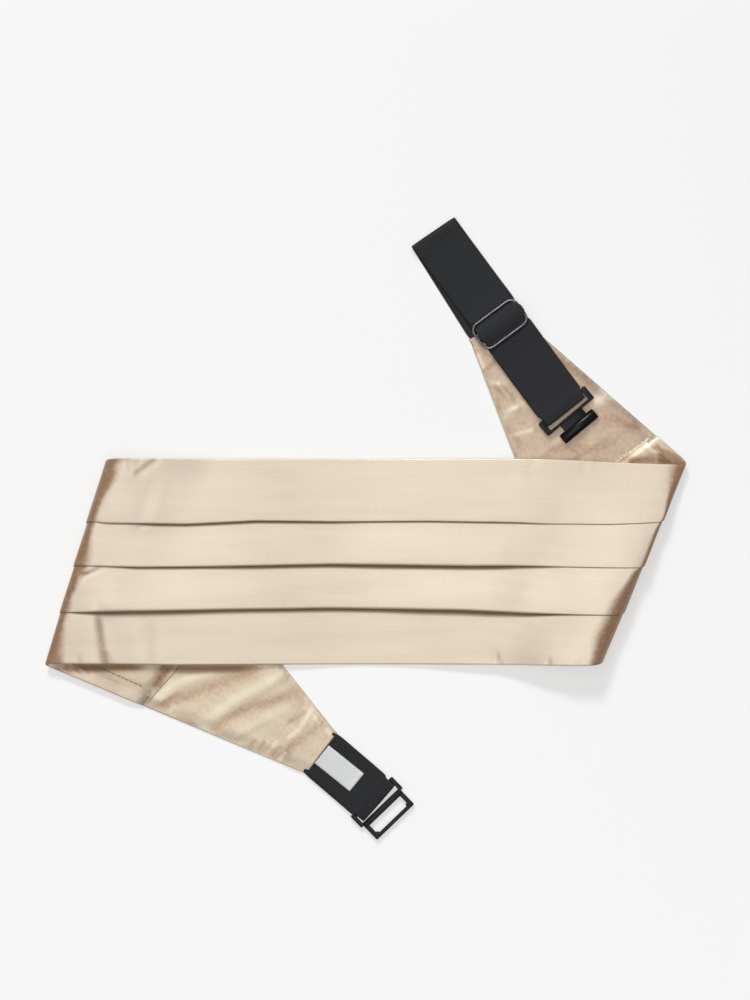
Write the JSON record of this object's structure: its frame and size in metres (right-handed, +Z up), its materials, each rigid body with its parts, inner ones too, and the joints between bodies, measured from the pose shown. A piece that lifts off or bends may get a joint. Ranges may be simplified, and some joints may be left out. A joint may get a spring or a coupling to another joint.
{
  "type": "cummerbund",
  "caption": "Champagne satin cummerbund with a pleated front and tapered wings, lying with both ends folded under, black elastic straps, a wire slider and a hook and loop clasp.",
  "frame": {"origin": "middle of the whole thing's outline, on the surface it lies on", "axes": "+X to the wearer's-front right of the picture along the pleats, +Y across the pleats towards the picture's top, +Z up from the surface"},
  "size_m": [0.3836, 0.3738, 0.0202],
  "materials": {
    "champagne_satin": "satin",
    "black_elastic": "ribbed, matte",
    "white_taffeta": "smooth, matte",
    "black_plastic": "semi-gloss",
    "nickel_wire": "polished nickel plate"
  },
  "bodies": {
    "root": {"front_pleats": "champagne_satin", "panel_lining": "champagne_satin", "left_wing": "champagne_satin", "right_wing": "champagne_satin", "left_strap": "black_elastic", "label": "white_taffeta", "loop_clasp": "black_plastic", "right_strap": "black_elastic", "slider": "nickel_wire", "hook_clasp": "black_plastic"}
  },
  "joints": []
}
